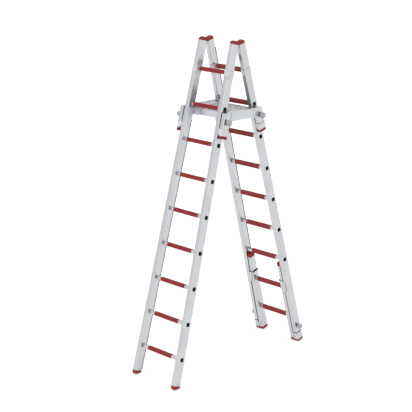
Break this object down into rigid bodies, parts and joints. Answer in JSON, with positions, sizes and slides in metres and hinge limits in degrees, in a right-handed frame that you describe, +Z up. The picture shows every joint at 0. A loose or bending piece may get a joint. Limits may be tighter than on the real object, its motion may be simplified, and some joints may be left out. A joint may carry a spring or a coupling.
{
  "type": "sectional double ladder with platform",
  "caption": "Free-standing aluminium double ladder of plug-together sections with gripped rungs, a clamped mid-height platform and a sliding rear extension.",
  "frame": {"origin": "on the floor under the middle of the ladder's bounding box", "axes": "+Z up, +X across the rungs, -Y towards the front flight"},
  "size_m": [0.562, 1.528, 2.638],
  "materials": {
    "aluminium": "mill-finished extrusion",
    "rung": "mill-finished tube",
    "deck": "buttoned tread sheet",
    "shoe": "silver-grey moulded shoe",
    "knob": "grey moulded knob",
    "red_grip": "red moulded sleeve",
    "red_cap": "red moulded cap",
    "red_rubber": "red rubber",
    "black_plug": "black moulded plug",
    "steel": "zinc-plated"
  },
  "bodies": {
    "front_ladder": {"cross_beams": "aluminium", "front_fasteners": "steel", "front_feet": "red_rubber", "front_rung_1": "rung", "front_rung_2": "rung", "front_rung_3": "rung", "front_rung_4": "rung", "front_rung_5": "rung", "front_rung_6": "rung", "front_rung_7": "rung", "front_rung_8": "rung", "front_rung_9": "rung", "front_rung_grips": "red_grip", "front_rung_plugs": "black_plug", "front_stile_left": "aluminium", "front_stile_right": "aluminium", "head_caps_front": "red_cap", "head_front_left": "aluminium", "head_front_right": "aluminium", "head_spigots_front": "aluminium", "hinge_leaves_front": "steel", "hinge_pins": "steel", "leg_shoes": "shoe", "leg_soles": "red_rubber", "platform_deck": "deck", "platform_legs": "aluminium", "side_beam_left": "aluminium", "side_beam_right": "aluminium"},
    "rear_ladder": {"guide_plates": "aluminium", "head_caps_rear": "red_cap", "head_rear_left": "aluminium", "head_rear_right": "aluminium", "head_spigots_rear": "aluminium", "hinge_leaves_rear": "steel", "rear_fasteners": "steel", "rear_rung_1": "rung", "rear_rung_2": "rung", "rear_rung_3": "rung", "rear_rung_4": "rung", "rear_rung_5": "rung", "rear_rung_6": "rung", "rear_rung_7": "rung", "rear_rung_grips": "red_grip", "rear_rung_plugs": "black_plug", "rear_shoes": "shoe", "rear_soles": "red_rubber", "rear_stile_left": "aluminium", "rear_stile_right": "aluminium"},
    "extension": {"extension_ends": "red_rubber", "extension_rung_grips": "red_grip", "extension_rungs": "rung", "extension_spigots": "aluminium", "extension_stile_left": "aluminium", "extension_stile_right": "aluminium"},
    "base_knob_left": {"base_knob_left": "knob"},
    "base_knob_right": {"base_knob_right": "knob"},
    "platform_knob_front_left": {"platform_knob_front_left": "knob"},
    "platform_knob_front_right": {"platform_knob_front_right": "knob"},
    "platform_knob_rear_left": {"platform_knob_rear_left": "knob"},
    "platform_knob_rear_right": {"platform_knob_rear_right": "knob"}
  },
  "joints": [
    {"name": "apex_hinge", "type": "hinge", "parent": "front_ladder", "child": "rear_ladder", "pos_m": [0, 0, 2.61176], "axis": [1, 0, 0], "range_deg": [0, 75]},
    {"name": "extension_slide", "type": "slide", "parent": "rear_ladder", "child": "extension", "axis": [0, 0.2588, -0.9659], "range_m": [0, 0.28]},
    {"name": "base_knob_left_turn", "type": "hinge", "parent": "rear_ladder", "child": "base_knob_left", "pos_m": [-0.26073, 0.69568, 0.14682], "axis": [-1, 0, 0], "range_deg": [0, 450]},
    {"name": "base_knob_right_turn", "type": "hinge", "parent": "rear_ladder", "child": "base_knob_right", "pos_m": [0.26073, 0.69568, 0.14682], "axis": [1, 0, 0], "range_deg": [0, 450]},
    {"name": "platform_knob_front_left_turn", "type": "hinge", "parent": "front_ladder", "child": "platform_knob_front_left", "pos_m": [-0.2665, -0.19046, 2.03231], "axis": [-1, 0, 0], "range_deg": [0, 450]},
    {"name": "platform_knob_front_right_turn", "type": "hinge", "parent": "front_ladder", "child": "platform_knob_front_right", "pos_m": [0.2665, -0.19046, 2.03231], "axis": [1, 0, 0], "range_deg": [0, 450]},
    {"name": "platform_knob_rear_left_turn", "type": "hinge", "parent": "front_ladder", "child": "platform_knob_rear_left", "pos_m": [-0.2665, 0.18787, 2.04197], "axis": [-1, 0, 0], "range_deg": [0, 450]},
    {"name": "platform_knob_rear_right_turn", "type": "hinge", "parent": "front_ladder", "child": "platform_knob_rear_right", "pos_m": [0.2665, 0.18787, 2.04197], "axis": [1, 0, 0], "range_deg": [0, 450]}
  ]
}
